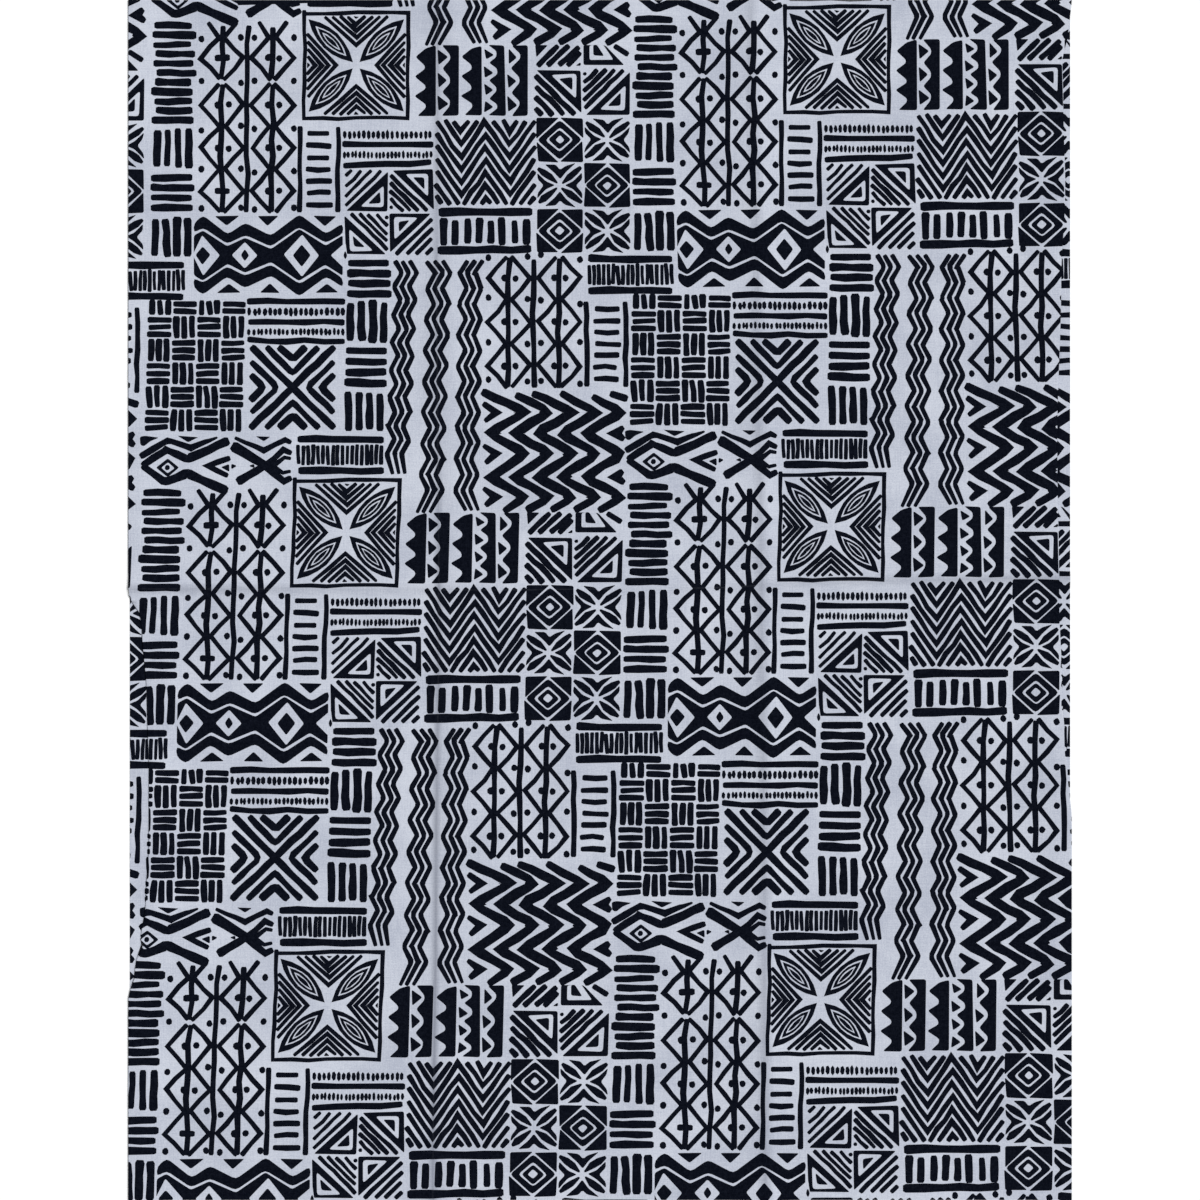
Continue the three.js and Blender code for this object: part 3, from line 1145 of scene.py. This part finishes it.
describe("ink", "FLOAT", "FACE", "value", np.concatenate((ink, ink, np.zeros(len(rim)))))
describe("back", "FLOAT", "FACE", "value", np.repeat((0.0, 1.0, 1.0), (len(ink), len(ink), len(rim))))
flat_place = np.column_stack((flat * MM, np.zeros(count)))
describe("flat_place", "FLOAT_VECTOR", "POINT", "vector", np.vstack((flat_place, flat_place)))
crest_distances = {
    "from_first": flat[:, 0] - eased(flat[:, 1], FIRST_CREASE),
    "from_second": flat[:, 0] - eased(flat[:, 1], SECOND_CREASE),
    "from_half": flat[:, 1] - eased(flat[:, 0], HALF_FOLD, 2),
}
for name, distance in crest_distances.items():
    describe(name, "FLOAT", "POINT", "value", np.tile(distance, 2))

print("attributes:", ", ".join(a.name for a in mesh.attributes if not a.name.startswith(".")))

# %% [markdown]
# ## A map of the flat cut
#
# Any program that paints the cloth as a picture needs a map. The flat cut is the natural one: the
# face first, the back beside it at a smaller scale, and the cut edge in a thin strip above.

# %% Map
FACE_SCALE, BACK_SCALE, MARGIN = 0.6, 0.38, 0.01
STRIP_LOW, STRIP_HIGH = 0.80, 0.82
from_corner = (flat + cut_size) * MM
face_map = from_corner * FACE_SCALE + MARGIN
back_map = from_corner * BACK_SCALE + (FLAT_LENGTH * MM * FACE_SCALE + 2 * MARGIN, MARGIN)
corner_map = np.vstack((face_map, back_map))[corner_verts]
share = np.arange(len(rim)) / len(rim)
ends = np.column_stack((share, share, share + 1 / len(rim), share + 1 / len(rim)))
strip_x = MARGIN + (1 - 2 * MARGIN) * ends.ravel()
strip_y = np.tile((STRIP_LOW, STRIP_HIGH, STRIP_HIGH, STRIP_LOW), len(rim))
corner_map[-4 * len(rim):] = np.column_stack((strip_x, strip_y))
layer = mesh.uv_layers.new(name="OFBake")
layer.uv.foreach_set("vector", corner_map.astype(np.float32).ravel())
print("map reaches", corner_map.max(axis=0).round(3).tolist())

# %% [markdown]
# ## Sums with sockets
#
# A finish is arithmetic on numbers that vary over the surface. This small class wraps a node's
# output so that Python's own signs add the right Math node, and one method makes any other node.

# %% A socket that can be added and multiplied
class Flow:
    """One value flowing through a node tree."""

    def __init__(self, tree, socket=None):
        self.tree = tree
        self.socket = socket

    def node(self, kind, settings, inputs, output=0):
        """Any node: its settings first, then a number or a Flow for each named socket."""
        made = self.tree.nodes.new(kind)
        for name, value in settings.items():
            setattr(made, name, value)
        for key, value in inputs.items():
            if isinstance(value, Flow):
                self.tree.links.new(value.socket, made.inputs[key])
            else:
                made.inputs[key].default_value = value
        return Flow(self.tree, made.outputs[output])

    def math(self, operation, a, b=0.0):
        return self.node("ShaderNodeMath", {"operation": operation}, {0: a, 1: b})

    def __add__(self, other):
        return self.math("ADD", self, other)

    def __sub__(self, other):
        return self.math("SUBTRACT", self, other)

    def __rsub__(self, other):
        return self.math("SUBTRACT", other, self)

    def __mul__(self, other):
        return self.math("MULTIPLY", self, other)

    __radd__ = __add__
    __rmul__ = __mul__

    def sine(self):
        return self.math("SINE", self)

    def near(self, place, reach):
        """One at a place, falling to nothing a reach away from it."""
        away = self.math("ABSOLUTE", self - place) * (1 / reach)
        settings = {"operation": "SUBTRACT", "use_clamp": True}
        return self.node("ShaderNodeMath", settings, {0: 1.0, 1: away})

    def stretched(self, scale):
        """A place scaled by its own number along each axis."""
        return self.node("ShaderNodeVectorMath", {"operation": "MULTIPLY"}, {0: self, 1: scale})

    def between(self, low, high):
        """A colour between two colours, with this value as the share."""
        settings = {"data_type": "RGBA"}
        return self.node("ShaderNodeMix", settings, {0: self, 6: low, 7: high}, output=2)


print("arithmetic for sockets ready")

# %% [markdown]
# ## What varies over the cotton
#
# Cotton is never quite even: dye and wash leave broad clouds, here and there a thread is thicker (a
# slub), and the surface has a fine grain. Noise at four scales gives these, laid out on the flat
# cut. Image textures could too, but noise stays sharp at any distance.

# %% Unevenness
SLUB_WARP, SLUB_WEFT = (60.0, 900.0, 1.0), (900.0, 60.0, 1.0)

cotton = bpy.data.materials.new("printed_cotton")
cotton.use_nodes = True
tree = cotton.node_tree
shader = tree.nodes["Principled BSDF"]
start = Flow(tree)


def read(name, output="Fac"):
    return start.node("ShaderNodeAttribute", {"attribute_name": name}, {}, output)


def noise(place, scale, detail):
    return start.node("ShaderNodeTexNoise", {}, {"Vector": place, "Scale": scale, "Detail": detail})


where = read("flat_place", "Vector")
inked, back = read("ink"), read("back")
from_first, from_second, from_half = read("from_first"), read("from_second"), read("from_half")
clouds = noise(where, 14.0, 4.0)
slubs = noise(where.stretched(SLUB_WARP), 1.0, 2.0) + noise(where.stretched(SLUB_WEFT), 1.0, 2.0)
mottle = noise(where, 260.0, 2.0)
grain = noise(where, 700.0, 2.0)
print(len(tree.nodes), "nodes read the cloth")

# %% [markdown]
# ## Ground and ink
#
# The pale ground has a cool cast, and shade is painted into it along the creases, greying it most
# where they are sharp. The ink sinks into the yarn: it is matt, a little mottled, weaker on the
# back, and cracked in a hair line along the sharpest creases. One mix lays the ink over the ground.

# %% Colour
GROUND_LIGHT, GROUND_DEEP = (0.565, 0.593, 0.667, 1), (0.394, 0.422, 0.504, 1)
# The grey that the painted crease shade mixes the ground towards.
GROUND_PAINTED_SHADE = (0.10, 0.11, 0.15, 1)
INK_DEEP, INK_WORN = (0.0018, 0.0026, 0.0060, 1), (0.0095, 0.0118, 0.0205, 1)

place_x = where.node("ShaderNodeSeparateXYZ", {}, {"Vector": where})
place_y = Flow(tree, place_x.socket.node.outputs["Y"])
# Painted shade: grey lines along the three creases, darkest at or just left of each crest, where the
# flanks turn from the key light.
first_painted_shade = from_first.near(-1.0, 5.0) * (0.38 - place_y * 0.28) + from_first.near(5.0, 14.0) * 0.18
second_painted_shade = from_second.near(-0.5, 9.0) * (0.30 - place_y * 0.12)
half_fold_painted_shade = from_half.near(0.0, 7.0) * (0.36 - place_x.near(0.0, 0.42) * 0.36)
painted_crease_shade = (first_painted_shade + second_painted_shade + half_fold_painted_shade) * (clouds + 0.5)

ground_share = (clouds - 0.5) * 1.8 + (slubs - 1.0) * 0.9 + (grain - 0.5) * 1.6 + 0.5
# The ground colour with the painted crease shade mixed in.
ground = painted_crease_shade.between(ground_share.between(GROUND_DEEP, GROUND_LIGHT), GROUND_PAINTED_SHADE)
worn_share = (mottle - 0.45) * 0.9 + (slubs - 1.0) * 0.5 + (grain - 0.5) * 1.2 + 0.15
ink_colour = worn_share.between(INK_DEEP, INK_WORN)
cracked = from_first.near(-1.0, 1.2) + from_half.near(0.0, 0.9)
cover = inked * (1 - cracked * mottle * 0.05) * (1 - back * 0.14)
colour = cover.between(ground, ink_colour)
tree.links.new(colour.socket, shader.inputs["Base Color"])
print(len(tree.nodes), "nodes with the colour")

# %% [markdown]
# ## Weave
#
# In plain weave the threads cross one over, one under, so the height of the cloth is a wave along
# the warp times a wave along the weft, with the slubs added. A bump is enough: a thread is under
# half a millimetre wide. Matt cotton hardly reflects, so the specular level is almost nothing.

# %% Roughness and weave
THREAD = 0.00045
WEAVE_SCALE = (math.tau / THREAD / 2,) * 3

roughness = 0.93 - inked * 0.07 + (slubs - 1.0) * 0.08
tree.links.new(roughness.socket, shader.inputs["Roughness"])
threads = where.node("ShaderNodeSeparateXYZ", {}, {"Vector": where.stretched(WEAVE_SCALE)})
warp = threads.sine()
weft = Flow(tree, threads.socket.node.outputs["Y"]).sine()
height = warp * weft * 0.4 + slubs
bump = start.node("ShaderNodeBump", {}, {"Height": height, "Strength": 0.35, "Distance": 0.0002})
tree.links.new(bump.socket, shader.inputs["Normal"])
shader.inputs["Specular IOR Level"].default_value = 0.02
mesh.materials.append(cotton)
print(len(tree.nodes), "nodes in the cotton")

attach(cloth, "root")
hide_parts("wax_print_cloth")
print("declared cut:", round(FLAT_LENGTH * MM, 4), "x", LOOM_WIDTH * MM, "m")

# %% [markdown]
# ## A white table
#
# The cloth lies on a plain white table. One large square is enough, a hair below the cloth so that
# the two never fight for the same place.

# %% Floor
FLOOR_HALF, FLOOR_DROP = 4.0, 0.0002
floor_mesh = bpy.data.meshes.new("floor")
floor_corners = [(x * FLOOR_HALF, y * FLOOR_HALF, -FLOOR_DROP) for x, y in border[:4]]
floor_mesh.from_pydata(floor_corners, [], [(0, 1, 2, 3)])
floor = bpy.data.objects.new("floor", floor_mesh)
bpy.context.collection.objects.link(floor)
paper = bpy.data.materials.new("white_table")
paper.use_nodes = True
paper_inputs = paper.node_tree.nodes["Principled BSDF"].inputs
paper_inputs["Base Color"].default_value = (0.93, 0.93, 0.93, 1)
paper_inputs["Roughness"].default_value = 0.9
paper_inputs["Specular IOR Level"].default_value = 0.1
floor_mesh.materials.append(paper)
print("floor", 2 * FLOOR_HALF, "m wide")

# %% [markdown]
# ## Soft light
#
# A broad key from the right, quite high, draws the creases: their left flanks turn from it. The
# pale room fills the rest. The Standard view keeps white paper white.

# %% Light
key = bpy.data.lights.new("key", "SUN")
key.energy = 2.8
key.angle = math.radians(28)
key_object = bpy.data.objects.new("key", key)
key_object.rotation_euler = Vector((0.47, 0.20, 0.86)).to_track_quat("Z", "Y").to_euler()
bpy.context.collection.objects.link(key_object)

world = bpy.data.worlds.new("soft room")
world.use_nodes = True
room_inputs = world.node_tree.nodes["Background"].inputs
room_inputs["Color"].default_value = (0.97, 0.985, 1.0, 1)
room_inputs["Strength"].default_value = 0.37
bpy.context.scene.world = world
bpy.context.scene.view_settings.view_transform = "Standard"
print("key of", key.energy, "over a room of", room_inputs["Strength"].default_value)

# %% [markdown]
# ## Camera
#
# The camera looks straight down from far enough away that the cloth keeps its straight edges and
# fills the frame from top to bottom.

# %% Camera
CAMERA_HEIGHT, FRAME_SIDE, SENSOR = 3.0, 1.2, 36.0
lens = bpy.data.cameras.new("camera")
lens.sensor_width = SENSOR
lens.lens = SENSOR * CAMERA_HEIGHT / FRAME_SIDE
camera = bpy.data.objects.new("camera", lens)
camera.location = (0, 0, CAMERA_HEIGHT)
bpy.context.collection.objects.link(camera)
bpy.context.scene.camera = camera
print("camera", CAMERA_HEIGHT, "m up with a", lens.lens, "mm lens")
